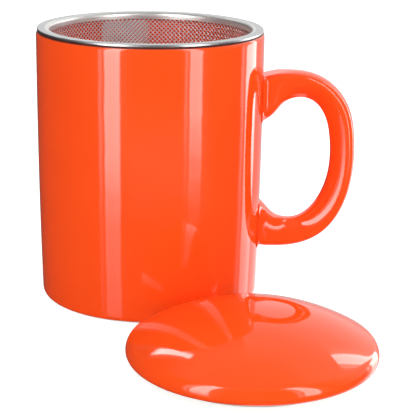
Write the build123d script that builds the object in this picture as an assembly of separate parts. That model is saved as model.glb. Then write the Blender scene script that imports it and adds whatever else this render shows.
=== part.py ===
"""A straight-sided stoneware tea mug with a steel mesh infuser seated in its mouth and its loose lid beside it.

Millimetres, +Z up. The origin is on the mug's axis, in the plane that the mug and the lid stand on.
The handle points along +X. The infuser lifts straight out of the mug and the lid straight off the table.
"""

from build123d import *
import os
from math import asin, cos, degrees, radians, sin, sqrt

# Mug body
MUG_RADIUS = 42.0
MUG_HEIGHT = 100.75
WALL = 3.4
BASE_TAPER = 1.1  # how much slimmer the body is at its foot than at its lip
BELLY_SHARE = 0.85  # share of that taper already taken up at half height
FOOT_LEAN = 1.4  # lean of the side at the foot, as a multiple of its mean lean up to half height
LIP_OUTER_ROUND = 2.4
LIP_INNER_CHAMFER = 0.8
FOOT_ROUND = 2.1
FOOT_RING_WIDTH = 4.5
FOOT_RECESS = 1.6
FLOOR_THICKNESS = 5.0
INNER_CORNER_ROUND = 9.0

# Handle, in the plane of the X axis
HANDLE_REACH = 35.3  # from the wall to the outermost point
HANDLE_TOP = 85.45
HANDLE_BOTTOM = 18.0
HANDLE_WIDTH = 13.0
HANDLE_ROUND = 4.0
GRIP_THICKNESS = 9.0
UPPER_ARM_THICKNESS = 9.85
LOWER_ARM_THICKNESS = 10.3
ROOT_BURY = 2.5  # how far the outline starts behind the wall's face before it is trimmed to it
UPPER_ROOT = 17.7  # height of the flared end there
LOWER_ROOT = 17.5
UPPER_ROOT_DROP = 2.3  # from the handle's top to the upper end
LOWER_ROOT_RISE = 1.1  # from the handle's bottom to the lower end
LUTE_BEVEL = 1.5  # bevel of slip where each end is luted to the wall
# Side view as shares of the box from the wall to the outermost point and from the bottom to the top
OUTER_LINE = [(0.216, 0.998), (0.65, 0.959), (0.929, 0.79), (0.992, 0.629), (0.988, 0.417), (0.892, 0.226),
              (0.659, 0.068), (0.292, 0.001)]
INNER_LINE = [(0.163, 0.878), (0.272, 0.948), (0.655, 0.988), (0.933, 0.799), (0.985, 0.659), (0.891, 0.221),
              (0.508, 0.007), (0.196, 0.033), (-0.029, 0.155)]

# Infuser
RIM_SHEET = 0.45
RIM_INSET = 0.4  # flange short of the mug's side
RIM_EDGE_DROP = 0.4  # turned-down edge, below the flange
RIM_BEND = 0.4  # width of the bend into the collar, on its underside
COLLAR_DEPTH = 2.6  # below the top of the flange
MESH_THICKNESS = 0.45
MESH_TO_MOUTH = 0.5  # clearance between the mesh and the mug's mouth
MESH_TOP_GAP = 0.6  # from the flange's underside to the mesh's upper edge
MESH_TAPER = 1.6  # radius lost from the collar to the base
BASKET_DEPTH = 70.0  # from the flange's underside to the mesh's lower edge
BASE_BAND = 3.0  # straight band of mesh held by the base ring, and height of the ring's leg
BASE_RING_WEB = 2.6  # width of the ring's flange under the mesh floor
GRID_PITCH = 5.9  # of the openings that stand for the weave in the mesh floor
GRID_BAR = 1.7
SEAM_WIDTH = 5.0
SEAM_BEARING = -90.0  # direction of the lapped seam, from +X

# Lid
LID_RADIUS = 42.3
LID_RING_DEPTH = 3.0  # locating ring, below the lid's underside
LID_RING_WIDTH = 3.6
LID_RING_CLEARANCE = 2.2  # ring to collar
LID_RING_CHAMFER = 0.8
LID_EDGE_ROUND = 2.5  # from the underside out to the widest line of the edge
LID_RISE = 14.8  # crown, above the widest line
LID_SHOULDER_ROUND = 4.5  # radius of the dome's edge
LID_THICKNESS = 5.4
LID_TO_MUG_GAP = 0.55  # between the lid's edge and the mug's side, seen from above
LID_BEARING = -66.15  # direction from the mug to the lid, from +X

MOUTH_RADIUS = MUG_RADIUS - WALL
COLLAR_OUTER = MOUTH_RADIUS - MESH_TO_MOUTH - MESH_THICKNESS
COLLAR_INNER = COLLAR_OUTER - RIM_SHEET
RIM_RADIUS = MUG_RADIUS - RIM_INSET
RIM_TOP = MUG_HEIGHT + RIM_SHEET
MESH_TOP = MUG_HEIGHT - MESH_TOP_GAP
COLLAR_FOOT = RIM_TOP - COLLAR_DEPTH
MESH_FOOT = MUG_HEIGHT - BASKET_DEPTH
MESH_FOOT_RADIUS = COLLAR_OUTER - MESH_TAPER
LID_DISTANCE = MUG_RADIUS + LID_RADIUS + LID_TO_MUG_GAP
LID_RING_RADIUS = COLLAR_INNER - LID_RING_CLEARANCE
LID_EDGE_HEIGHT = LID_RING_DEPTH + LID_EDGE_ROUND
LID_TOP = LID_EDGE_HEIGHT + LID_RISE
LID_PLACE = (LID_DISTANCE * cos(radians(LID_BEARING)), LID_DISTANCE * sin(radians(LID_BEARING)))


def turned(lines):
    """The solid that a closed outline in the XZ plane sweeps about the Z axis."""
    return revolve(make_face(lines), Axis.Z)


def corners(*points):
    """Straight lines through points given as (radius, height)."""
    return Polyline(*[(r, 0, z) for r, z in points])


def body_side():
    """The mug's outer side, from the foot to the lip: a slight belly that straightens out towards the lip."""
    foot = (MUG_RADIUS - BASE_TAPER, 0, FOOT_ROUND)
    middle = (MUG_RADIUS - BASE_TAPER * (1 - BELLY_SHARE), 0, MUG_HEIGHT / 2)
    lip = (MUG_RADIUS, 0, MUG_HEIGHT - LIP_OUTER_ROUND)
    mean_lean = BASE_TAPER * BELLY_SHARE / (MUG_HEIGHT / 2)
    return Spline(foot, middle, lip, tangents=[(FOOT_LEAN * mean_lean, 0, 1), (0, 0, 1)])


def foot_corner():
    """The rounding from the mug's side into the foot ring's flat underside."""
    radius = MUG_RADIUS - BASE_TAPER
    bend = FOOT_ROUND * cos(radians(45))
    middle = (radius - FOOT_ROUND + bend, 0, FOOT_ROUND - bend)
    return ThreePointArc((radius, 0, FOOT_ROUND), middle, (radius - FOOT_ROUND, 0, 0))


def lip_outside():
    """The rounding from the mug's side onto the flat land on top of the lip."""
    bend = LIP_OUTER_ROUND * cos(radians(45))
    centre = MUG_RADIUS - LIP_OUTER_ROUND
    middle = (centre + bend, 0, MUG_HEIGHT - LIP_OUTER_ROUND + bend)
    return ThreePointArc((MUG_RADIUS, 0, MUG_HEIGHT - LIP_OUTER_ROUND), middle, (centre, 0, MUG_HEIGHT))


def body_block():
    """The mug's outside as a full solid, without the hollow."""
    top_edge = corners((MUG_RADIUS - LIP_OUTER_ROUND, MUG_HEIGHT), (0, MUG_HEIGHT), (0, 0))
    foot_edge = corners((0, 0), (MUG_RADIUS - BASE_TAPER - FOOT_ROUND, 0))
    return turned([body_side(), lip_outside(), top_edge, foot_edge, foot_corner()])


def mug_body():
    """The cup: block less its hollow, with a rounded lip and a foot ring round a shallow recess."""
    floor = FOOT_RECESS + FLOOR_THICKNESS
    hollow_foot = MOUTH_RADIUS - BASE_TAPER
    hollow = turned(
        corners((0, floor), (hollow_foot, floor), (MOUTH_RADIUS, MUG_HEIGHT), (0, MUG_HEIGHT), (0, floor))
    )
    hollow = fillet(hollow.edges().sort_by(Axis.Z).filter_by(GeomType.CIRCLE)[0], INNER_CORNER_ROUND)
    ring_inside = MUG_RADIUS - BASE_TAPER - FOOT_ROUND - FOOT_RING_WIDTH
    recess = turned(
        corners((0, 0), (ring_inside, 0), (ring_inside - FOOT_RECESS, FOOT_RECESS), (0, FOOT_RECESS), (0, 0))
    )
    cup = body_block() - hollow - recess
    mouth_edge = cup.edges().filter_by(GeomType.CIRCLE).filter_by_position(
        Axis.Z, MUG_HEIGHT, MUG_HEIGHT
    ).sort_by(SortBy.RADIUS)[0]
    return chamfer(mouth_edge, LIP_INNER_CHAMFER)


def placed(shares, left, right, bottom, top):
    """Points in the XZ plane from their shares of a box."""
    return [(left + u * (right - left), 0, bottom + v * (top - bottom)) for u, v in shares]


def handle_outline():
    """The handle's side view: an ear with soft corners, from behind the wall's face round to it again."""
    start = MUG_RADIUS - ROOT_BURY
    reach = MUG_RADIUS + HANDLE_REACH
    upper_end = HANDLE_TOP - UPPER_ROOT_DROP
    lower_end = HANDLE_BOTTOM + LOWER_ROOT_RISE
    hole_foot = HANDLE_BOTTOM + LOWER_ARM_THICKNESS
    hole_top = HANDLE_TOP - UPPER_ARM_THICKNESS
    outer = placed(OUTER_LINE, MUG_RADIUS, reach, HANDLE_BOTTOM, HANDLE_TOP)
    inner = placed(INNER_LINE, MUG_RADIUS, reach - GRIP_THICKNESS, hole_foot, hole_top)
    outer = [(start, 0, upper_end), *outer, (start, 0, lower_end)]
    inner = [(start, 0, upper_end - UPPER_ROOT), *inner, (start, 0, lower_end + LOWER_ROOT)]
    ends = [Line(outer[0], inner[0]), Line(outer[-1], inner[-1])]
    return make_face([Spline(*outer), Spline(*inner), *ends])


def mug_handle():
    """The ear with rounded long edges, its ends spread onto the mug's wall by a bevel and trimmed to it."""
    slab = extrude(Pos(0, HANDLE_WIDTH / 2, 0) * handle_outline(), HANDLE_WIDTH, dir=(0, -1, 0))
    long_edges = [e for e in slab.edges() if e.geom_type == GeomType.BSPLINE]
    ear = fillet(long_edges, HANDLE_ROUND)
    block = body_block().rotate(Axis.Z, 180)  # turns the seam of the revolved face away from the handle
    joined = block + ear
    return chamfer(new_edges(block, ear, combined=joined), LUTE_BEVEL) - block


def infuser_rim():
    """The stamped rim: a flat flange with a turned-down edge, bent into a short collar."""
    bend_out = COLLAR_OUTER + RIM_BEND
    bend_foot = MUG_HEIGHT - RIM_BEND
    drop = MUG_HEIGHT - RIM_EDGE_DROP
    edge_inside = RIM_RADIUS - RIM_SHEET
    upper_side = [(COLLAR_INNER, COLLAR_FOOT), (COLLAR_INNER, bend_foot), (bend_out, RIM_TOP), (RIM_RADIUS, RIM_TOP)]
    edge = [(RIM_RADIUS, drop), (edge_inside, drop), (edge_inside, MUG_HEIGHT)]
    under_side = [(bend_out, MUG_HEIGHT), (COLLAR_OUTER, bend_foot), (COLLAR_OUTER, COLLAR_FOOT)]
    return turned(corners(*upper_side, *edge, *under_side, upper_side[0]))


def mesh_line(offset, top=MESH_TOP, foot=MESH_FOOT):
    """The basket's side at an offset from the mesh's inner face: straight at the collar and at the base."""
    upper = COLLAR_OUTER + offset
    lower = MESH_FOOT_RADIUS + offset
    return [(upper, top), (upper, COLLAR_FOOT), (lower, MESH_FOOT + BASE_BAND), (lower, foot)]


def infuser_mesh_wall():
    """The rolled mesh as a thin tapered shell, with its edges lapped over each other on the inside."""
    outside = mesh_line(MESH_THICKNESS)
    inside = mesh_line(0)
    shell = turned(corners(*outside, *reversed(inside), outside[0]))
    width = degrees(SEAM_WIDTH / MESH_FOOT_RADIUS)
    top = COLLAR_FOOT - MESH_THICKNESS
    slope = (COLLAR_OUTER - MESH_FOOT_RADIUS) / (COLLAR_FOOT - MESH_FOOT - BASE_BAND)
    foot = MESH_FOOT + BASE_BAND + MESH_THICKNESS
    radii = [COLLAR_OUTER - slope * (COLLAR_FOOT - z) for z in (top, foot)]
    lap = make_face(
        corners(
            (radii[0], top), (radii[1], foot), (radii[1] - MESH_THICKNESS, foot),
            (radii[0] - MESH_THICKNESS, top), (radii[0], top),
        )
    )
    lap = revolve(lap, Axis.Z, revolution_arc=width)
    return shell + lap.rotate(Axis.Z, SEAM_BEARING - width / 2)


def infuser_mesh_floor():
    """The disc of mesh that closes the basket, with its edge turned up inside the wall and the weave as a grid."""
    outside = MESH_FOOT_RADIUS
    inside = outside - MESH_THICKNESS
    floor = MESH_FOOT + MESH_THICKNESS
    edge = MESH_FOOT + BASE_BAND
    disc = turned(corners((0, MESH_FOOT), (outside, MESH_FOOT), (outside, edge), (inside, edge),
                          (inside, floor), (0, floor), (0, MESH_FOOT)))
    side = GRID_PITCH - GRID_BAR
    web = outside - BASE_RING_WEB - side * sqrt(0.5)
    count = 2 * int(outside / GRID_PITCH)
    places = [p for p in GridLocations(GRID_PITCH, GRID_PITCH, count, count) if p.position.length < web]
    holes = [place * Box(side, side, 2 * MESH_THICKNESS) for place in places]
    return disc - Pos(0, 0, MESH_FOOT) * Rot(0, 0, 45) * Compound(holes)


def infuser_base_ring():
    """The angle ring that holds the wall and the floor together: a leg outside the wall, a web under both."""
    wall = MESH_FOOT_RADIUS + MESH_THICKNESS
    under = MESH_FOOT - RIM_SHEET
    edge = MESH_FOOT + BASE_BAND
    return turned(corners((wall - BASE_RING_WEB, under), (wall + RIM_SHEET, under), (wall + RIM_SHEET, edge),
                          (wall, edge), (wall, MESH_FOOT), (wall - BASE_RING_WEB, MESH_FOOT),
                          (wall - BASE_RING_WEB, under)))


def lid():
    """The domed lid with a rounded edge, standing on the locating ring round its hollow underside."""
    shoulder = LID_RADIUS - LID_SHOULDER_ROUND
    bow = (shoulder ** 2 + LID_RISE ** 2 - LID_SHOULDER_ROUND ** 2) / (2 * (LID_RISE - LID_SHOULDER_ROUND))
    lean = degrees(asin(shoulder / (bow - LID_SHOULDER_ROUND)))
    hollow = LID_RING_RADIUS - LID_RING_WIDTH
    hollow_lean = degrees(asin(hollow / (bow - LID_THICKNESS)))
    crown_centre = (0, LID_TOP - bow)
    edge_centre = LID_RADIUS - LID_EDGE_ROUND
    ring = Polyline(
        (edge_centre, LID_RING_DEPTH), (LID_RING_RADIUS, LID_RING_DEPTH), (LID_RING_RADIUS, 0), (hollow, 0),
        (hollow, LID_TOP - bow + (bow - LID_THICKNESS) * cos(radians(hollow_lean))),
    )
    section = make_face([
        CenterArc(crown_centre, bow, 90 - lean, lean),
        CenterArc((shoulder, LID_EDGE_HEIGHT), LID_SHOULDER_ROUND, 0, 90 - lean),
        CenterArc((edge_centre, LID_EDGE_HEIGHT), LID_EDGE_ROUND, 270, 90),
        ring,
        CenterArc(crown_centre, bow - LID_THICKNESS, 90 - hollow_lean, hollow_lean),
        Line((0, LID_TOP - LID_THICKNESS), (0, LID_TOP)),
    ])
    shape = revolve(Plane.XZ * section, Axis.Z)
    foot_edges = shape.edges().filter_by(GeomType.CIRCLE).filter_by_position(Axis.Z, 0, 0)
    return Pos(*LID_PLACE, 0) * chamfer(foot_edges, LID_RING_CHAMFER)


def main():
    os.makedirs("parts", exist_ok=True)
    makers = [mug_body, mug_handle, infuser_rim, infuser_mesh_wall, infuser_mesh_floor, infuser_base_ring, lid]
    for maker in makers:
        export_step(maker(), f"parts/{maker.__name__}.step")


main()
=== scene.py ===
"""Looks of a lidded tea mug with its infuser: orange glaze, brushed steel, woven wire and studio light.

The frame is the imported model's: metres, +Z up, the mug's axis through the origin and its handle along +X.
The object's sizes are written in millimetres, and a mesh is scaled to metres when it is made. The studio's
are in metres.
"""

from math import asin, cos, degrees, hypot, pi, radians, sin, sqrt, tau

import bpy
import numpy as np
from mathutils import Matrix, Vector


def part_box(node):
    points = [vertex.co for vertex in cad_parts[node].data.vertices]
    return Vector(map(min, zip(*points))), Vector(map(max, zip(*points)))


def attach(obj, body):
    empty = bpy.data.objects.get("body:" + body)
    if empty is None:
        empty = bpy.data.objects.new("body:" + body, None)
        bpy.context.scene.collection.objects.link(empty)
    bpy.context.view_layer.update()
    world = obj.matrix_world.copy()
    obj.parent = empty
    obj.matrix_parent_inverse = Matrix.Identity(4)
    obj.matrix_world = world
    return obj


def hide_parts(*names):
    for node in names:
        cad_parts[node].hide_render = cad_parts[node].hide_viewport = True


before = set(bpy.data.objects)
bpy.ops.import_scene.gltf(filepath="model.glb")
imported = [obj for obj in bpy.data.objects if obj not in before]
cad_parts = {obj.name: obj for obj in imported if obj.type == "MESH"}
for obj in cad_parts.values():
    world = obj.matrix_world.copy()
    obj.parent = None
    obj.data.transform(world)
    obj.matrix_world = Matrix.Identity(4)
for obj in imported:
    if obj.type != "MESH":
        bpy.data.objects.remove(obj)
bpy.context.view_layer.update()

MM = 0.001


def cad_size(node):
    """A node's lowest and highest corners in millimetres."""
    low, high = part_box(node)
    return low / MM, high / MM


# Camera: it looks along +Y from in front of the mug, a little from above
LENS = 117.84
SENSOR = 36.0
CAMERA_DISTANCE = 500.0
CAMERA_HEIGHT = 176.8
CAMERA_YAW = 0.0444
CAMERA_PITCH = 0.2819
CAMERA_ROLL = 0.0166

# Mug
MUG_TOP = cad_size("mug_body")[1].z
MUG_RADIUS = cad_size("mug_body")[1].y
WALL = 3.4
TAPER = 1.1
TAPER_POWER = 2.7
LIP_OUTER_ROUND = 2.4
LIP_INNER_ROUND = 0.9
FOOT_ROUND = 2.1
FOOT_RING = 4.5
FOOT_RECESS = 1.6
FLOOR = 5.0
INNER_CORNER = 9.0
FOOT_INNER_ROUND = 0.5
RECESS_ROUND = 1.0
SIDE_RINGS = 48

# Handle
HANDLE_REACH = cad_size("mug_handle")[1].x - MUG_RADIUS
HANDLE_TOP = 85.45
HANDLE_BOTTOM = 18.0
HANDLE_WIDTH = 13.0
EAR_CROWN = 14.0  # radius of the ear's outer face, across its width
EAR_ROUND = 2.4  # its long edges
EAR_LEAN = 24.0  # how far its sides lean in towards the fingers, just inside those edges
EAR_DRAW = 50.0  # and where they turn into the inner face
EAR_INNER_FLAT = 1.2
EAR_HALF = 5.2  # half the section's height up to which it has this form
ROOT_HALF = 8.2  # and from which it has the root's
HANDLE_ROUND = 4.0  # the root's inner long edges
GRIP = 9.0
UPPER_ARM = 9.85
LOWER_ARM = 10.3
ROOT_BURY = 2.5
UPPER_ROOT = 17.7
LOWER_ROOT = 17.5
UPPER_ROOT_DROP = 2.3
LOWER_ROOT_RISE = 1.1
LUTE_EDGE_ROUND = 0.9  # fillet of slip at the wall, along the ear's top and bottom
LUTE_FACE_ROUND = 2.6  # and along its two flat faces
ROOT_INSIDE = 0.8  # how far behind the wall's face the ear ends
EAR_RINGS = 260  # sections that its lines are worked out from
ARM_RINGS = 150  # rings of points between the two fillets
LUTE_RINGS = 12  # and in each fillet
FACE_STEPS, EDGE_STEPS, SIDE_STEPS, INNER_STEPS = 5, 12, 6, 6  # along half a section, from its outer face

# Infuser
RIM_TOP = cad_size("infuser_rim")[1].z
RIM_RADIUS = cad_size("infuser_rim")[1].x
SHEET = 0.45
CUT_ROUND = 0.1  # the sheet's cut edges
RIM_BEND = 0.85  # inside the bend from the flange into the collar
RIM_EDGE_ROUND = 0.36
RIM_DROP = 0.4  # how far the turned-down edge reaches below the mug's top
COLLAR_FOOT = cad_size("infuser_rim")[0].z
COLLAR_RADIUS = 37.65
MESH_TOP = cad_size("infuser_mesh_wall")[1].z
MESH_FOOT = cad_size("infuser_mesh_wall")[0].z
MESH_THICKNESS = 0.45
MESH_FOOT_RADIUS = 36.05
BASE_BAND = 3.0
BASE_BAND_ROUND = 0.2
BASE_RING_WEB = 2.6
BASE_RING_BEND = 0.42
FLOOR_GAP = 0.2  # between the floor's wires and the wall
CREVICE_RADIUS = MUG_RADIUS - 1.05  # where shade is painted on the lip, under the flange's edge
CREVICE_HEIGHT = MUG_TOP - 1.1
WIRE = 0.28
WIRE_SIDES = 6
WIRES_ROUND = 138
WALL_GROUPS = 2  # pieces that the wall's wires of each lean are shared out over
LAP_WIDTH = 19.0  # of the rolled cloth over itself
LAP_BEARING = 106.0
LAP_GAP = 0.08  # between the two layers
LAP_WEAVE = 0.4 * WIRE  # how far its wires swing to each side

# Lid
LID_LOW, LID_HIGH = cad_size("lid")
LID_RADIUS = (LID_HIGH.x - LID_LOW.x) / 2
LID_PLACE = Vector(((LID_LOW.x + LID_HIGH.x) / 2, (LID_LOW.y + LID_HIGH.y) / 2, 0))
LID_TOP = LID_HIGH.z
LID_RING_DEPTH = 3.0
LID_RING_RADIUS = 35.0
LID_RING_WIDTH = 3.6
LID_RING_ROUND = 0.8
LID_EDGE_ROUND = 2.5
LID_SHOULDER_ROUND = 4.5
LID_THICKNESS = 5.4

# Bare clay: how far up the glaze is wiped off
BARE_FOOT = 0.7
BARE_RING = LID_RING_DEPTH + 0.15

# Finishes, with the darker and the lighter tone of each
ORANGE = (0.93, 0.072, 0.008, 1), (1.0, 0.088, 0.011, 1)
CLAY = (0.70, 0.64, 0.55, 1), (0.86, 0.82, 0.75, 1)
# painted shade and light: the flange's tones are darkened and the collar's lightened, though both are the
# same steel
FLANGE = (0.38, 0.385, 0.39, 1), (0.60, 0.605, 0.61, 1)
COLLAR = (0.66, 0.65, 0.63, 1), (0.84, 0.83, 0.81, 1)
DRAWN_WIRE = (0.70, 0.69, 0.69, 1), (0.88, 0.87, 0.87, 1)
# painted shade: the near-black line on the lip under the flange's edge
FLANGE_EDGE_SHADE = (0.012, 0.006, 0.004, 1)
WHITE = (1, 1, 1, 1)
GLAZE_ROUGHNESS = 0.035
CLAY_ROUGHNESS = 0.85
COLLAR_ROUGHNESS = 0.36
FLANGE_ROUGHNESS = 0.25
WIRE_ROUGHNESS = 0.30
SHADE_STRENGTH = 0.93  # how far the painted shade under the flange darkens the glaze
GRAIN_RADIUS = 38.8  # the flange is grained outside it, with its tone darkened as painted shade, and the bend and the collar are polished, with their tone lightened as painted light
GROOVES = 4200  # scale of the marks that turning left, to a metre

SEGMENTS = 224  # round a turned piece
ON_AXIS = 1e-6  # a smaller radius is a point on the axis


# ---------------------------------------------------------------- outlines and meshes

def arc(centre, radius, start, end, steps):
    """Points on a circular arc, with its angles in degrees from the first axis."""
    angles = [radians(start + (end - start) * i / steps) for i in range(steps + 1)]
    return [(centre[0] + radius * cos(a), centre[1] + radius * sin(a)) for a in angles]


def rounded(corners, steps):
    """An outline through (radius, height, rounding) corners, with an arc where the rounding isn't 0."""
    line = []
    for i, (r, z, bend) in enumerate(corners):
        if not bend:
            line.append((r, z))
            continue
        here = np.array((r, z))
        before, after = np.array(corners[i - 1][:2]) - here, np.array(corners[i + 1][:2]) - here
        before, after = before / np.linalg.norm(before), after / np.linalg.norm(after)
        half = np.arccos(np.clip(before @ after, -1, 1)) / 2
        middle = (before + after) / np.linalg.norm(before + after)
        centre = here + middle * bend / np.sin(half)
        first, last = here + before * bend / np.tan(half), here + after * bend / np.tan(half)
        start = np.degrees(np.arctan2(*(first - centre)[::-1]))
        turn = (np.degrees(np.arctan2(*(last - centre)[::-1])) - start + 180) % 360 - 180
        line += arc(centre, bend, start, start + turn, steps)
    return line


def smooth_line(points, count):
    """Evenly spaced points on the natural cubic spline through the given ones."""
    knots = np.array(points, float)
    place = np.concatenate([[0], np.cumsum(np.linalg.norm(np.diff(knots, axis=0), axis=1))])
    gap = np.diff(place)
    system = np.eye(len(knots))
    pull = np.zeros_like(knots)
    for i in range(1, len(knots) - 1):
        system[i, i - 1:i + 2] = gap[i - 1], 2 * (gap[i - 1] + gap[i]), gap[i]
        pull[i] = 6 * ((knots[i + 1] - knots[i]) / gap[i] - (knots[i] - knots[i - 1]) / gap[i - 1])
    bend = np.linalg.solve(system, pull)

    def at(where):
        i = np.clip(np.searchsorted(place, where) - 1, 0, len(gap) - 1)
        left, right, h = (where - place[i])[:, None], (place[i + 1] - where)[:, None], gap[i][:, None]
        return (
            bend[i] * right ** 3 / (6 * h) + bend[i + 1] * left ** 3 / (6 * h)
            + (knots[i] / h - bend[i] * h / 6) * right + (knots[i + 1] / h - bend[i + 1] * h / 6) * left
        )

    fine = np.linspace(0, place[-1], 20 * count)
    length = np.concatenate([[0], np.cumsum(np.linalg.norm(np.diff(at(fine), axis=0), axis=1))])
    even = np.interp(np.linspace(0, length[-1], count), length, fine)
    return at(even)


def mesh_piece(name, points, faces, body, material, replaces=(), sharp=35):
    """A smooth-shaded mesh piece on a body, in a finish, standing for the CAD nodes that it replaces."""
    mesh = bpy.data.meshes.new(name)
    mesh.from_pydata([Vector(p) * MM for p in points], [], faces)
    mesh.validate()
    mesh.shade_smooth()
    if sharp:
        mesh.set_sharp_from_angle(angle=radians(sharp))
    mesh.materials.append(material)
    piece = bpy.data.objects.new(name, mesh)
    bpy.context.scene.collection.objects.link(piece)
    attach(piece, body)
    if replaces:
        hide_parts(*replaces)


def turned(name, outline, body, material, replaces=(), centre=(0, 0)):
    """A piece swept about a vertical axis from a closed outline of (radius, height).

    With the axis on the left the outline is listed clockwise, so that the faces look outwards.
    """
    points, rings = [], []
    for r, z in outline:
        if r < ON_AXIS:
            rings.append([len(points)] * SEGMENTS)
            points.append((centre[0], centre[1], z))
            continue
        rings.append(range(len(points), len(points) + SEGMENTS))
        points += [
            (centre[0] + r * cos(tau * k / SEGMENTS), centre[1] + r * sin(tau * k / SEGMENTS), z)
            for k in range(SEGMENTS)
        ]
    faces = []
    joined = outline[0][0] > ON_AXIS
    for i in range(len(rings) if joined else len(rings) - 1):
        low, high = rings[i], rings[(i + 1) % len(rings)]
        for k in range(SEGMENTS):
            n = (k + 1) % SEGMENTS
            face = [low[k], high[k], high[n], low[n]]
            face = [v for j, v in enumerate(face) if v != face[j - 1]]
            if len(face) > 2:
                faces.append(face)
    mesh_piece(name, points, faces, body, material, replaces)


def tube_faces(first, rings, around):
    """The faces of a closed tube, looking outwards if its rings turn right-handed about the way it runs."""
    faces = []
    for ring in range(rings - 1):
        low = first + around * ring
        for k in range(around):
            n = (k + 1) % around
            faces.append([low + k, low + n, low + around + n, low + around + k])
    last = first + around * (rings - 1)
    faces.append([first + k for k in range(around)][::-1])
    faces.append([last + k for k in range(around)])
    return faces


# ---------------------------------------------------------------- finishes

class Wire:
    """A node's output that can be added, multiplied and so on, each of which adds a Math node."""

    def __init__(self, finish, socket):
        self.finish, self.socket = finish, socket

    def maths(self, operation, *values):
        """The output of a Math node on values, which may be numbers."""
        return self.finish.node("ShaderNodeMath", {"operation": operation}, dict(enumerate(values)))

    def __add__(self, other):
        return self.maths("ADD", self, other)

    def __radd__(self, other):
        return self.maths("ADD", other, self)

    def __sub__(self, other):
        return self.maths("SUBTRACT", self, other)

    def __rsub__(self, other):
        return self.maths("SUBTRACT", other, self)

    def __mul__(self, other):
        return self.maths("MULTIPLY", self, other)

    def __rmul__(self, other):
        return self.maths("MULTIPLY", other, self)

    def __truediv__(self, other):
        return self.maths("DIVIDE", self, other)

    def clamped(self):
        """Kept between 0 and 1."""
        return self.maths("MINIMUM", self.maths("MAXIMUM", self, 0.0), 1.0)


class Finish:
    """A node tree: one method makes any node, and the rest are short names for what is used often."""

    def __init__(self, owner):
        owner.use_nodes = True
        self.tree = owner.node_tree
        self.tree.nodes.clear()

    def node(self, kind, settings=None, inputs=None, out=0):
        """One output of a new node, with its settings made first and then its sockets' values or links."""
        made = self.tree.nodes.new(kind)
        for key, value in (settings or {}).items():
            setattr(made, key, value)
        for key, value in (inputs or {}).items():
            if isinstance(value, Wire):
                self.tree.links.new(value.socket, made.inputs[key])
            else:
                made.inputs[key].default_value = value
        return Wire(self, made.outputs[out]) if made.outputs else None

    def mix(self, factor, first, second):
        """A blend of two colours."""
        return self.node("ShaderNodeMix", {"data_type": "RGBA"}, {0: factor, 6: first, 7: second}, 2)

    def place(self):
        """The surface point in metres, before any pose moves it."""
        return self.node("ShaderNodeTexCoord", out="Object")

    def parts_of(self, vector):
        """The three coordinates of a vector."""
        split = self.node("ShaderNodeSeparateXYZ", inputs={0: vector})
        return [Wire(self, s) for s in split.socket.node.outputs]

    def noise(self, vector, scale, detail):
        """Cloudy noise about 0.5, with features about 1 / scale metres across."""
        return self.node("ShaderNodeTexNoise", inputs={"Vector": vector, "Scale": scale, "Detail": detail})

    def bump(self, height, distance, normal=None):
        """A normal bent by a height map, whose full height is a distance in metres."""
        inputs = {"Height": height, "Distance": distance, "Strength": 1.0}
        if normal:
            inputs["Normal"] = normal
        return self.node("ShaderNodeBump", inputs=inputs)

    def surface(self, shader):
        """Makes a shader the material's surface."""
        self.node("ShaderNodeOutputMaterial", inputs={"Surface": shader})


def new_material(name):
    """A material and the node tree that its finish is built in."""
    material = bpy.data.materials.new(name)
    return material, Finish(material)


def step(value, edge, width):
    """0 below an edge and 1 above it, over a width."""
    return ((value - (edge - width / 2)) / width).clamped()


def band(value, low, high, width):
    """1 between two edges and 0 outside them, over a width at each."""
    return step(value, low, width) * (1 - step(value, high, width))


def glaze(name, bare_height):
    """Deep gloss orange, faintly mottled and orange-peeled, with painted shade on the lip under the flange.

    Below a height it is wiped off, down to the fired clay.
    """
    material, f = new_material(name)
    place = f.place()
    x, y, height = f.parts_of(place)
    mottle = f.noise(place, scale=55, detail=3)
    ragged = f.noise(place, scale=900, detail=2)
    glazed = step(height + (ragged - 0.5) * (0.4 * MM), bare_height * MM, 0.2 * MM)
    square = x * x + y * y
    # painted shade: the lip just under the flange's edge is darkened to near black and made rougher
    painted_shade = step(square, (CREVICE_RADIUS * MM) ** 2, 4 * MM ** 2)
    painted_shade = painted_shade * step(height, CREVICE_HEIGHT * MM, 0.3 * MM)
    orange = f.mix(painted_shade * SHADE_STRENGTH, f.mix(mottle, *ORANGE), FLANGE_EDGE_SHADE)
    waves = f.bump(f.noise(place, scale=95, detail=1), 0.06 * MM)
    peel = f.bump(f.noise(place, scale=1500, detail=1), 0.0012 * MM, waves)
    gloss = GLAZE_ROUGHNESS + mottle * 0.02 + painted_shade * 0.5
    f.surface(f.node("ShaderNodeBsdfPrincipled", inputs={
        "Base Color": f.mix(glazed, f.mix(ragged, *CLAY), orange),
        "Roughness": CLAY_ROUGHNESS - glazed * (CLAY_ROUGHNESS - gloss),
        "IOR": 1.5,
        "Normal": peel,
    }))
    return material


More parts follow.
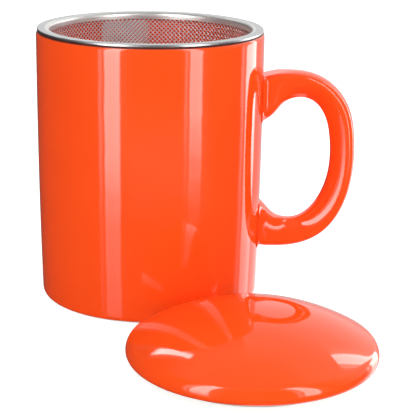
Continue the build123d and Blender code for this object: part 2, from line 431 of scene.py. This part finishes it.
def sheet_steel():
    """Stainless sheet: belt-grained flange, press-polished collar; painted shade darkens the flange,
    painted light brightens the collar.
    """
    material, f = new_material("sheet_steel")
    place = f.place()
    x, y, z = f.parts_of(place)
    square = x * x + y * y
    radius = square.maths("SQRT", square)
    # painted shade and light: outside this radius the steel takes the darker flange tones, inside it the
    # lighter collar tones
    grained_and_shaded = step(radius, GRAIN_RADIUS * MM, 0.4 * MM)
    rings = f.node("ShaderNodeCombineXYZ", inputs={0: radius * GROOVES, 1: z * GROOVES, 2: 0.0})
    turning = f.noise(rings, scale=1.0, detail=2)
    grain = f.noise(place, scale=2600, detail=3)
    cloud = f.noise(place, scale=120, detail=2)
    brushed = f.bump(grain * 0.6 + turning * 0.4, 0.03 * MM)
    streaks = grain * 0.5 + turning * 0.5
    smoother = grained_and_shaded * (COLLAR_ROUGHNESS - FLANGE_ROUGHNESS - grain * 0.08)
    f.surface(f.node("ShaderNodeBsdfPrincipled", inputs={
        "Base Color": f.mix(grained_and_shaded, f.mix(streaks, *COLLAR), f.mix(streaks, *FLANGE)),
        "Metallic": 1.0,
        "Roughness": COLLAR_ROUGHNESS + cloud * 0.08 - smoother,
        "Normal": brushed,
    }))
    return material


def wire_steel():
    """Drawn stainless wire, a little dull, with patches left darker by the annealing."""
    material, f = new_material("wire_steel")
    place = f.place()
    patches = f.noise(place, scale=260, detail=2)
    drawn = f.noise(place, scale=5200, detail=1)
    f.surface(f.node("ShaderNodeBsdfPrincipled", inputs={
        "Base Color": f.mix(patches, *DRAWN_WIRE),
        "Metallic": 1.0,
        "Roughness": WIRE_ROUGHNESS + drawn * 0.12,
        "Normal": f.bump(drawn, 0.008 * MM),
    }))
    return material


# ---------------------------------------------------------------- the mug

def wall_radius(z):
    """The mug's outside radius at a height: it straightens out towards the lip."""
    top = MUG_TOP - LIP_OUTER_ROUND
    share = min(1.0, max(0.0, (top - z) / (top - FOOT_ROUND)))
    return MUG_RADIUS - TAPER * share ** TAPER_POWER


def mug_body(material):
    """The cup, with a rounded lip, a rounded inner corner and a foot ring round a shallow recess."""
    floor = FOOT_RECESS + FLOOR
    mouth = MUG_RADIUS - WALL
    foot = MUG_RADIUS - TAPER
    lip_radius, lip_height = MUG_RADIUS - LIP_OUTER_ROUND, MUG_TOP - LIP_OUTER_ROUND
    ring_inside = foot - FOOT_ROUND - FOOT_RING
    inside = rounded([
        (0, floor, 0), (mouth - TAPER, floor, INNER_CORNER), (mouth, MUG_TOP, LIP_INNER_ROUND),
        (lip_radius, MUG_TOP, 0),
    ], steps=12)
    lip = arc((lip_radius, lip_height), LIP_OUTER_ROUND, 90, 0, steps=14)
    side = [(wall_radius(z), z) for z in np.linspace(lip_height, FOOT_ROUND, SIDE_RINGS)[1:-1]]
    corner = arc((foot - FOOT_ROUND, FOOT_ROUND), FOOT_ROUND, 0, -90, steps=12)
    recess = rounded([
        (ring_inside + FOOT_RING / 2, 0, 0), (ring_inside, 0, FOOT_INNER_ROUND),
        (ring_inside - FOOT_RECESS, FOOT_RECESS, RECESS_ROUND), (0, FOOT_RECESS, 0),
    ], steps=6)
    outline = [*inside[:-1], *lip, *side, *corner, *recess]
    turned("mug_cup", outline, "mug", material, ["mug_body"])


# Points that the handle's two lines pass through, as shares of their reach from the wall and their height
OUTER_SHARES = [
    (0.216, 0.998), (0.65, 0.959), (0.929, 0.79), (0.992, 0.629), (0.988, 0.417), (0.892, 0.226),
    (0.659, 0.068), (0.292, 0.001),
]
INNER_SHARES = [
    (0.163, 0.878), (0.272, 0.948), (0.655, 0.988), (0.933, 0.799), (0.985, 0.659), (0.891, 0.221),
    (0.508, 0.007), (0.196, 0.033), (-0.029, 0.155),
]


def handle_sides(count):
    """The handle's outer and inner lines in the XZ plane, from behind the wall at its top to its bottom."""
    start = MUG_RADIUS - ROOT_BURY
    upper_end = HANDLE_TOP - UPPER_ROOT_DROP
    lower_end = HANDLE_BOTTOM + LOWER_ROOT_RISE

    def placed(shares, right, bottom, top):
        return [(MUG_RADIUS + u * (right - MUG_RADIUS), bottom + v * (top - bottom)) for u, v in shares]

    reach = MUG_RADIUS + HANDLE_REACH
    outer = placed(OUTER_SHARES, reach, HANDLE_BOTTOM, HANDLE_TOP)
    inner = placed(INNER_SHARES, reach - GRIP, HANDLE_BOTTOM + LOWER_ARM, HANDLE_TOP - UPPER_ARM)
    outer = [(start, upper_end), *outer, (start, lower_end)]
    inner = [(start, upper_end - UPPER_ROOT), *inner, (start, lower_end + LOWER_ROOT)]
    return smooth_line(outer, count), smooth_line(inner, count)


def chained(start, facing, bends):
    """Points and the way each faces along arcs, (radius, turn, steps), that run on from one another."""
    place, heading = np.array(start, float), facing
    chain = [(place, np.array((cos(heading), sin(heading))))]
    for radius, turn, steps in bends:
        centre = place - radius * np.array((cos(heading), sin(heading)))
        for k in range(1, steps + 1):
            way = np.array((cos(heading + turn * k / steps), sin(heading + turn * k / steps)))
            chain.append((centre + radius * way, way))
        place, heading = chain[-1][0], heading + turn
    return chain


def ear_half(half_height):
    """Half the ear's section: its outer face is crowned, and its side draws in towards the fingers."""
    crown_turn = asin((HANDLE_WIDTH / 2 - EAR_ROUND) / (EAR_CROWN - EAR_ROUND))
    lean, draw = radians(EAR_LEAN), radians(EAR_DRAW)
    form = min(half_height, EAR_HALF)
    outer = [(EAR_CROWN, crown_turn, FACE_STEPS), (EAR_ROUND, pi / 2 + lean - crown_turn, EDGE_STEPS)]
    half = chained((form, 0), 0, outer)
    height_left = half[-1][0][0] + form
    width_left = half[-1][0][1] - EAR_INNER_FLAT
    turns = [[sin(draw) - sin(lean), 1 - sin(draw)], [cos(lean) - cos(draw), cos(draw)]]
    side, inner = np.linalg.solve(turns, [height_left, width_left])
    inward = [(side, draw - lean, SIDE_STEPS), (inner, pi / 2 - draw, INNER_STEPS)]
    half += chained(half[-1][0], pi / 2 + lean, inward)[1:]
    return [(point * (half_height / form, 1), way) for point, way in half]


def root_half(half_height):
    """Half the root's section: flat faces with rounded edges, in as many points as the ear's."""
    flat = np.linspace(0, HANDLE_WIDTH / 2 - EAR_ROUND, FACE_STEPS + 1)
    half = [(np.array((half_height, w)), np.array((1.0, 0.0))) for w in flat]
    half += chained(half[-1][0], 0, [(EAR_ROUND, pi / 2, EDGE_STEPS)])[1:]
    side = np.linspace(half[-1][0][0], HANDLE_ROUND - half_height, SIDE_STEPS + 1)[1:]
    half += [(np.array((h, HANDLE_WIDTH / 2)), np.array((0.0, 1.0))) for h in side]
    return half + chained(half[-1][0], pi / 2, [(HANDLE_ROUND, pi / 2, INNER_STEPS)])[1:]


def handle_section(half_height):
    """The section across the handle: offsets along its height and width, and the way each point faces."""
    blend = min(1.0, max(0.0, (ROOT_HALF - half_height) / (ROOT_HALF - EAR_HALF)))
    half = []
    for (ear, ear_way), (root, root_way) in zip(ear_half(half_height), root_half(half_height)):
        way = ear_way * blend + root_way * (1 - blend)
        half.append((ear * blend + root * (1 - blend), way / np.linalg.norm(way)))
    inner_face = [(half[-1][0] * (1, k), half[-1][1]) for k in (0.5, 0, -0.5)]
    mirror = np.array((1, -1))
    return half + inner_face + [(point * mirror, way * mirror) for point, way in half[:0:-1]]


def handle_rings():
    """Sections all along the handle: their points and the way each faces, by section and place in it."""
    outer, inner = handle_sides(EAR_RINGS)
    half = np.linalg.norm(outer - inner, axis=1) / 2
    across = (outer - inner) / (2 * half)[:, None]
    points, facings = [], []
    for (x, z), (way_x, way_z), size in zip((outer + inner) / 2, across, half):
        section = handle_section(size)
        points.append([(x + way_x * h, w, z + way_z * h) for (h, w), _ in section])
        facings.append([(way_x * h, w, way_z * h) for _, (h, w) in section])
    return np.array(points), np.array(facings)


def luted_line(line, facing, bend):
    """A line along the ear, cut where it meets the mug's wall and flared out there by a fillet of slip."""
    count = len(line)
    off_wall = np.array([hypot(x, y) - wall_radius(z) for x, y, z in line])
    outside = np.flatnonzero(off_wall > 0)

    def spot(level, walk):
        """Where the line stands off the wall by a level, counted in points of the line."""
        for a, b in walk:
            if off_wall[a] <= level < off_wall[b]:
                return a + (b - a) * (level - off_wall[a]) / (off_wall[b] - off_wall[a])

    rising = [(i, i + 1) for i in range(outside[0] - 1, count // 2)]
    falling = [(i + 1, i) for i in range(outside[-1], count // 2, -1)]
    levels = [bend * (1 - sin(pi / 2 * j / LUTE_RINGS)) for j in range(LUTE_RINGS, -1, -1)]
    start = [spot(level, rising) for level in levels]
    end = [spot(level, falling) for level in levels]
    between = list(np.linspace(start[-1], end[-1], ARM_RINGS)[1:-1])
    spots = np.array(start + between + end[::-1])
    base, way = (
        np.stack([np.interp(spots, np.arange(count), values[:, axis]) for axis in range(3)], 1)
        for values in (line, facing)
    )
    depth = np.array(levels + [bend] * len(between) + levels[::-1])
    spread = bend - np.sqrt(np.maximum(0, bend ** 2 - (bend - depth) ** 2))
    moved = base + way * spread[:, None]
    inward = [(wall_radius(z) - ROOT_INSIDE) / hypot(x, y) for x, y, z in (moved[0], moved[-1])]
    return [moved[0] * (inward[0], inward[0], 1), *moved, moved[-1] * (inward[1], inward[1], 1)]


def mug_handle(material):
    """The ear: a bar swept between its two side lines, spreading in a fillet where it meets the wall."""
    points, facings = handle_rings()
    lines = []
    for k, (_, (_, sideways)) in enumerate(handle_section(ROOT_HALF)):
        bend = LUTE_EDGE_ROUND + (LUTE_FACE_ROUND - LUTE_EDGE_ROUND) * sideways ** 2
        lines.append(luted_line(points[:, k], facings[:, k], bend))
    lines.reverse()  # so that they turn right-handed about the ear
    rings = len(lines[0])
    points = [line[i] for i in range(rings) for line in lines]
    faces = tube_faces(0, rings, len(lines))
    mesh_piece("mug_ear", points, faces, "mug", material, ["mug_handle"], sharp=50)


# ---------------------------------------------------------------- the infuser

def infuser_rim(material):
    """The pressed rim: grained flange with a soft outer edge, and a short polished collar."""
    collar_inside = COLLAR_RADIUS - SHEET
    edge_inside = RIM_RADIUS - SHEET
    under = RIM_TOP - SHEET
    drop = MUG_TOP - RIM_DROP
    outline = rounded([
        (collar_inside, COLLAR_FOOT, 0), (collar_inside, RIM_TOP, RIM_BEND + SHEET),
        (RIM_RADIUS, RIM_TOP, RIM_EDGE_ROUND), (RIM_RADIUS, drop, CUT_ROUND),
        (edge_inside, drop, CUT_ROUND), (edge_inside, under, 0),
        (COLLAR_RADIUS, under, RIM_BEND), (COLLAR_RADIUS, COLLAR_FOOT, 0),
    ], steps=8)
    turned("infuser_flange", outline, "infuser", material, ["infuser_rim"])


def infuser_base_ring(material):
    """The angle ring that clamps the wall and the floor of the basket."""
    wall = MESH_FOOT_RADIUS + MESH_THICKNESS
    under = MESH_FOOT - SHEET
    edge = MESH_FOOT + BASE_BAND
    outline = rounded([
        (wall - BASE_RING_WEB, MESH_FOOT, 0), (wall, MESH_FOOT, CUT_ROUND), (wall, edge, CUT_ROUND),
        (wall + SHEET, edge, BASE_BAND_ROUND), (wall + SHEET, under, BASE_RING_BEND),
        (wall - BASE_RING_WEB, under, CUT_ROUND), (wall - BASE_RING_WEB, MESH_FOOT, 0),
    ], steps=6)
    turned("infuser_foot_band", outline[:-1], "infuser", material, ["infuser_base_ring"])


def wire_tube(centres, sides, points, faces):
    """Adds a closed tube along the given centres to lists of points and faces.

    Its sides are pairs of directions across the wire, right-handed about the way it runs.
    """
    faces += tube_faces(len(points), len(centres), WIRE_SIDES)
    turns = [tau * k / WIRE_SIDES for k in range(WIRE_SIDES)]
    for centre, (one, other) in zip(centres, sides):
        points += [centre + one * cos(a) + other * sin(a) for a in turns]


def mesh_radius(z):
    """The middle of the wire cloth at a height: straight at the collar and the base, tapered between."""
    middle = MESH_THICKNESS / 2
    low = MESH_FOOT + BASE_BAND
    share = min(1.0, max(0.0, (z - low) / (COLLAR_FOOT - low)))
    return MESH_FOOT_RADIUS + (COLLAR_RADIUS - MESH_FOOT_RADIUS) * share + middle


def wall_wires(lean, group, material, replaces=()):
    """A share of the wires that climb the wall to the right (lean 1) or left (lean -1), interwoven."""
    climb = tau / WIRES_ROUND
    weave = WIRE / 2
    mean_radius = (mesh_radius(MESH_TOP) + mesh_radius(MESH_FOOT)) / 2
    turns = (MESH_TOP - MESH_FOOT) / mean_radius
    crossings = 2 * turns / climb
    samples = int(crossings * 2)
    points, faces = [], []
    for wire in range(group, WIRES_ROUND, WALL_GROUPS):
        centres, sides = [], []
        for s in range(samples + 1):
            rise = turns * s / samples
            z = MESH_FOOT + rise * mean_radius
            angle = climb * wire + lean * rise
            crossed = 2 * rise / climb
            out = lean * weave * cos(pi * crossed)
            outward = Vector((cos(angle), sin(angle), 0))
            along = Vector((-sin(angle) * lean, cos(angle) * lean, 1)).normalized()
            centres.append(outward * (mesh_radius(z) + out) + Vector((0, 0, z)))
            sides.append((outward * WIRE / 2, along.cross(outward) * WIRE / 2))
        wire_tube(centres, sides, points, faces)
    name = f"wall_wires_{'right' if lean > 0 else 'left'}_{group + 1}"
    mesh_piece(name, points, faces, "infuser", material, replaces, sharp=0)


def lap_wires(material):
    """The end of the rolled cloth where it laps over its start: a second layer in a strip down the wall."""
    points, faces = [], []
    pitch = tau * mesh_radius(MESH_FOOT) / WIRES_ROUND
    half = LAP_WIDTH / 2
    low, high = MESH_FOOT + BASE_BAND, COLLAR_FOOT
    for lean in (1, -1):
        for row in range(int((high - low + LAP_WIDTH) / pitch)):
            centres, sides = [], []
            for s in range(int(LAP_WIDTH / pitch * 2) + 1):
                side = -half + s * pitch / 2
                z = low - half + row * pitch + side * lean
                if not low < z < high:
                    continue
                radius = mesh_radius(z) - MESH_THICKNESS - LAP_GAP
                angle = radians(LAP_BEARING) + side / radius
                outward = Vector((cos(angle), sin(angle), 0))
                along = Vector((-sin(angle), cos(angle), lean)).normalized()
                centres.append(outward * (radius + lean * LAP_WEAVE * cos(pi * s)) + Vector((0, 0, z)))
                sides.append((outward * WIRE / 2, along.cross(outward) * WIRE / 2))
            if len(centres) > 2:
                wire_tube(centres, sides, points, faces)
    mesh_piece("lap_wires", points, faces, "infuser", material, sharp=0)


def floor_wires(material):
    """The disc of wire cloth that closes the basket's foot, with its wires at 45 degrees to the handle."""
    points, faces = [], []
    pitch = tau * mesh_radius(MESH_FOOT) / WIRES_ROUND
    edge = MESH_FOOT_RADIUS - FLOOR_GAP
    z = MESH_FOOT + MESH_THICKNESS / 2
    lines = int(edge / pitch)
    bias = sqrt(0.5)
    for lean in (1, -1):
        across = Vector((bias, -lean * bias, 0))
        for line in range(-lines, lines + 1):
            offset = line * pitch
            reach = sqrt(max(0.0, edge ** 2 - offset ** 2))
            steps = int(reach / pitch * 2)
            centres, sides = [], []
            for s in range(-steps, steps + 1):
                along = s * pitch / 2
                x, y = (along, offset) if lean > 0 else (offset, along)
                lift = lean * WIRE / 2 * cos(pi * (s / 2 + line))
                centres.append(Vector(((x - y) * bias, (x + y) * bias, z + lift)))
                sides.append((Vector((0, 0, WIRE / 2)), across * WIRE / 2))
            if len(centres) > 2:
                wire_tube(centres, sides, points, faces)
    replaced = ["infuser_mesh_floor"]
    mesh_piece("floor_wires", points, faces, "infuser", material, replaced, sharp=0)


# ---------------------------------------------------------------- the lid

def lid(material):
    """The domed lid, on the ring that locates it in the infuser's collar."""
    edge_height = LID_RING_DEPTH + LID_EDGE_ROUND
    edge_radius = LID_RADIUS - LID_EDGE_ROUND
    rise = LID_TOP - edge_height
    shoulder = LID_RADIUS - LID_SHOULDER_ROUND
    bow = (shoulder ** 2 + rise ** 2 - LID_SHOULDER_ROUND ** 2) / (2 * (rise - LID_SHOULDER_ROUND))
    lean = degrees(asin(shoulder / (bow - LID_SHOULDER_ROUND)))
    hollow = LID_RING_RADIUS - LID_RING_WIDTH
    ceiling = bow - LID_THICKNESS
    hollow_lean = degrees(asin(hollow / ceiling))
    crown = arc((0, LID_TOP - bow), bow, 90, 90 - lean, steps=30)
    shoulder_line = arc((shoulder, edge_height), LID_SHOULDER_ROUND, 90 - lean, 0, steps=14)
    edge = arc((edge_radius, edge_height), LID_EDGE_ROUND, 0, -90, steps=10)
    ring = rounded([
        ((LID_RING_RADIUS + edge_radius) / 2, LID_RING_DEPTH, 0),
        (LID_RING_RADIUS, LID_RING_DEPTH, LID_RING_ROUND), (LID_RING_RADIUS, 0, LID_RING_ROUND),
        (hollow, 0, LID_RING_ROUND), (hollow, LID_TOP, 0),
    ], steps=6)[:-1]
    under = arc((0, LID_TOP - bow), ceiling, 90 - hollow_lean, 90, steps=24)
    outline = [(0, LID_TOP), *crown[1:], *shoulder_line[1:], *edge[1:], *ring, *under[:-1]]
    outline.append((0, LID_TOP - LID_THICKNESS))
    turned("lid_dome", outline, "lid", material, ["lid"], LID_PLACE[:2])


# ---------------------------------------------------------------- studio

# The table's colour, strengths in which white is 1, and the lamps' sizes and places in metres
TABLE_PAPER = 0.80
TABLE_GLOW = 0.62
ROOM_LIGHT = 0.22
OVERHEAD_LIGHT = 0.80
LAMP_DISTANCE = 0.62
LAMP_HEIGHT = 0.10
LAMP_TARGET = Vector((0, 0, 0.10))
LAMP_TALL = 0.95

# What the gloss shows of the room round the object
ROOM_DIM = 0.06
CEILING = 0.20
CEILING_BEHIND = 0.32  # added as it gets further away
WINDOW = 0.9  # the room's right side, over the table
TABLE_RIGHT = 0.55  # the table at the right and behind
TABLE_RIGHT_NEAR = 0.5  # added where it is closer
TABLE_BAND = 0.30  # a paler band of the table in front

# Soft edges of the room's parts: where the middle of each is, and its width
HORIZON = 0.0, 0.08
BACKDROP_FRONT = 0.55, 0.5
BACKDROP_LEFT = -0.30, 0.3
BACKDROP_TOP = 0.66, 0.25
WINDOW_START = 95, 50  # the bearings are in degrees
WINDOW_TOP = 0.8, 0.3
CEILING_EDGE = 0.80, 0.16
TABLE_RIGHT_START = 118, 40
TABLE_RIGHT_NEARER = 0.29, 0.04
TABLE_BAND_LEFT = -22, 8
TABLE_BAND_RIGHT = 60, 20
TABLE_BAND_DEPTHS = 0.225, 0.30, 0.04  # from and to, and their width

# A light card's pattern: places and widths in shares of the core's width, and levels with the core's as 1
CARD_SOFT = 0.12  # how softly the core ends
CARD_SEAM = (-0.22, 0.16)
CARD_SEAM_DIMMING = 0.16
CARD_LINE = (-0.90, -0.66)  # a faint line beside the core
CARD_LINE_LEVEL = 0.30
CARD_SPILL = 0.22


def lamp(name, bearing, width, radiance):
    """A tall soft lamp that lights the object; the gloss shows the light cards instead of it.

    Its bearing is in degrees from the front towards the right.
    """
    light = bpy.data.lights.new(name, "AREA")
    light.shape = "RECTANGLE"
    light.size, light.size_y = width, LAMP_TALL
    light.energy = radiance * pi * width * LAMP_TALL
    obj = bpy.data.objects.new(name, light)
    bpy.context.scene.collection.objects.link(obj)
    a = radians(bearing)
    place = Vector((LAMP_DISTANCE * sin(a), -LAMP_DISTANCE * cos(a), LAMP_HEIGHT))
    turn = (LAMP_TARGET - place).to_track_quat("-Z", "Y").to_matrix().to_4x4()
    obj.matrix_world = Matrix.Translation(place) @ turn
    obj.visible_glossy = False


def stage_mesh(name, points, faces, material):
    """A mesh of the studio, which isn't part of the object."""
    mesh = bpy.data.meshes.new(name)
    mesh.from_pydata(points, [], faces)
    mesh.materials.append(material)
    obj = bpy.data.objects.new(name, mesh)
    bpy.context.scene.collection.objects.link(obj)
    return obj


def light_path(finish):
    """The kinds of ray that reach a surface, each 0 or 1."""
    path = finish.node("ShaderNodeLightPath")
    return {o.name: Wire(finish, o) for o in path.socket.node.outputs}


def white_floor():
    """A white table that the camera sees as pure white but for the shadows close to the object."""
    material, f = new_material("table_white")
    rays = light_path(f)
    paper = f.node("ShaderNodeBsdfDiffuse", inputs={"Color": (TABLE_PAPER, TABLE_PAPER, TABLE_PAPER, 1)})
    seen = rays["Is Camera Ray"] * TABLE_GLOW
    glow = f.node("ShaderNodeEmission", inputs={"Color": WHITE, "Strength": seen})
    lit = f.node("ShaderNodeAddShader", inputs={0: paper, 1: glow})
    clear = f.node("ShaderNodeBsdfTransparent")
    f.surface(f.node("ShaderNodeMixShader", inputs={0: rays["Is Glossy Ray"], 1: lit, 2: clear}))
    half = 3.0
    corners = [(-half, -half, 0), (half, -half, 0), (half, half, 0), (-half, half, 0)]
    stage_mesh("table", corners, [(0, 1, 2, 3)], material)


def light_card(name, place, core, reach, low, high, radiance, fade):
    """The glowing front of a softbox as the gloss shows it: a bright core with a soft seam, and its spill.

    It faces the mug's axis from a place, between a low and a high edge. The core is given by its width, and
    the spill by its reach to each side. The fade lists shares of the light, each with the height at which
    it sets in and over how much of the height it does.
    """
    material, f = new_material(name)
    across, up, _ = f.parts_of(f.place())
    soft = CARD_SOFT * core
    bright = band(across, -core / 2, core / 2, soft)
    seam = band(across, CARD_SEAM[0] * core, CARD_SEAM[1] * core, 2 * soft)
    line = band(across, CARD_LINE[0] * core, CARD_LINE[1] * core, soft)
    spill = (1 - across.maths("ABSOLUTE", across) / reach).clamped()
    level = bright * (1 - CARD_SEAM_DIMMING * seam) + CARD_LINE_LEVEL * line + CARD_SPILL * spill * spill
    height = sum(share * step(up, where, width) for share, where, width in fade)
    glow = f.node("ShaderNodeEmission", inputs={"Color": WHITE, "Strength": radiance * level * height})
    clear = f.node("ShaderNodeBsdfTransparent")
    f.surface(f.node("ShaderNodeAddShader", inputs={0: clear, 1: glow}))
    corners = [(-reach, low, 0), (reach, low, 0), (reach, high, 0), (-reach, high, 0)]
    card = stage_mesh(name, corners, [(0, 1, 2, 3)], material)
    side = Vector((place[1], -place[0], 0)).normalized()
    card.matrix_world = Matrix.Translation(place) @ Matrix((
        (-side.x, 0, side.y, 0), (-side.y, 0, -side.x, 0), (0, 1, 0, 0), (0, 0, 0, 1)
    ))
    for kind in ("camera", "diffuse", "shadow", "transmission"):
        setattr(card, f"visible_{kind}", False)


def studio_world():
    """White to the camera, a soft grey light that is brightest from above, and to the gloss a dim room.

    Directions have x to the right, y away from the camera and z up, and a bearing is in degrees from the
    front towards the right. The room has a white backdrop behind, a pale ceiling and a bright right side.
    """
    world = bpy.data.worlds.new("studio")
    bpy.context.scene.world = world
    f = Finish(world)
    rays = light_path(f)
    x, y, z = f.parts_of(f.node("ShaderNodeTexCoord", out="Generated"))
    down = -1 * z
    bearing = x.maths("ARCTAN2", x, -1 * y) * (180 / pi)
    above = step(z, *HORIZON)
    behind = step(y, *BACKDROP_FRONT) * step(x, *BACKDROP_LEFT)
    backdrop = behind * above * (1 - step(z, *BACKDROP_TOP))
    window = WINDOW * step(bearing, *WINDOW_START) * above * (1 - step(z, *WINDOW_TOP))
    ceiling = (CEILING + CEILING_BEHIND * y.maths("MAXIMUM", y, 0)) * step(z, *CEILING_EDGE)
    right = step(bearing, *TABLE_RIGHT_START) * (1 - above)
    right = right * (TABLE_RIGHT + TABLE_RIGHT_NEAR * step(down, *TABLE_RIGHT_NEARER))
    front = step(bearing, *TABLE_BAND_LEFT) * (1 - step(bearing, *TABLE_BAND_RIGHT))
    front = TABLE_BAND * band(down, *TABLE_BAND_DEPTHS) * front
    room = ROOM_DIM + ceiling + right + front + backdrop.maths("MAXIMUM", backdrop, window)
    white = (rays["Is Camera Ray"] + rays["Is Transmission Ray"]).clamped()
    glossy = rays["Is Glossy Ray"]
    soft = ROOM_LIGHT + OVERHEAD_LIGHT * z.maths("MAXIMUM", z, 0)
    strength = white + (1 - white) * (glossy * room + (1 - glossy) * soft)
    back = f.node("ShaderNodeBackground", inputs={"Color": WHITE, "Strength": strength})
    f.node("ShaderNodeOutputWorld", inputs={"Surface": back})


def camera():
    """The camera, turned by yaw, pitch and a slight roll."""
    data = bpy.data.cameras.new("camera")
    data.lens, data.sensor_width = LENS, SENSOR
    data.clip_start, data.clip_end = 0.01, 20
    obj = bpy.data.objects.new("camera", data)
    bpy.context.scene.collection.objects.link(obj)
    forward = cos(CAMERA_PITCH)
    ahead = Vector((sin(CAMERA_YAW) * forward, cos(CAMERA_YAW) * forward, -sin(CAMERA_PITCH)))
    level = ahead.cross(Vector((0, 0, 1))).normalized()
    rise = level.cross(ahead)
    right = level * cos(CAMERA_ROLL) + rise * sin(CAMERA_ROLL)
    up = rise * cos(CAMERA_ROLL) - level * sin(CAMERA_ROLL)
    turn = Matrix((right, up, -ahead)).transposed().to_4x4()
    obj.matrix_world = Matrix.Translation(Vector((0, -CAMERA_DISTANCE, CAMERA_HEIGHT)) * MM) @ turn
    bpy.context.scene.camera = obj


def build_object():
    """Every piece of the mug, the infuser and the lid."""
    orange, steel, wires = glaze("orange_glaze", BARE_FOOT), sheet_steel(), wire_steel()
    mug_body(orange)
    mug_handle(orange)
    infuser_rim(steel)
    infuser_base_ring(steel)
    for lean in (1, -1):
        for group in range(WALL_GROUPS):
            wall_wires(lean, group, wires, ["infuser_mesh_wall"] if lean > 0 and group == 0 else ())
    lap_wires(wires)
    floor_wires(wires)
    lid(glaze("lid_glaze", BARE_RING))


def build_studio():
    """Camera, light, table and the cards that the gloss shows."""
    bpy.context.scene.view_settings.view_transform = "Standard"
    camera()
    studio_world()
    white_floor()
    lamp("lamp_left", bearing=-17, width=0.20, radiance=4.7)
    lamp("lamp_right", bearing=47, width=0.17, radiance=4.3)
    lamp("lamp_back_right", bearing=132, width=0.18, radiance=6.0)
    light_card(
        "card_front_left", (-0.247, -0.338, 0), core=0.114, reach=0.16, low=-0.3, high=0.67, radiance=8.4,
        fade=[(0.16, -0.20, 0.10), (0.14, -0.10, 0.10), (0.32, -0.062, 0.05), (0.38, 0.02, 0.16)],
    )
    light_card(
        "card_front_right", (0.448, -0.455, 0), core=0.147, reach=0.22, low=-0.3, high=1.10, radiance=6.6,
        fade=[(0.18, -0.14, 0.06), (0.22, -0.11, 0.05), (0.40, -0.075, 0.05), (0.20, -0.02, 0.10)],
    )
    light_card(
        "card_back_right", (0.353, 0.218, 0), core=0.055, reach=0.10, low=0.05, high=0.42, radiance=5.0,
        fade=[(1.0, 0.10, 0.08)],
    )
    light_card(
        "card_back_right_low", (0.370, 0.189, 0), core=0.150, reach=0.16, low=-0.3, high=0.10, radiance=5.5,
        fade=[(0.28, -0.25, 0.10), (0.22, -0.09, 0.05), (0.25, -0.05, 0.05), (0.25, -0.015, 0.04)],
    )
    light_card(
        "card_back_left", (-0.218, 0.262, 0), core=0.028, reach=0.05, low=0.25, high=0.60, radiance=8.0,
        fade=[(1.0, 0.30, 0.04)],
    )


build_object()
build_studio()
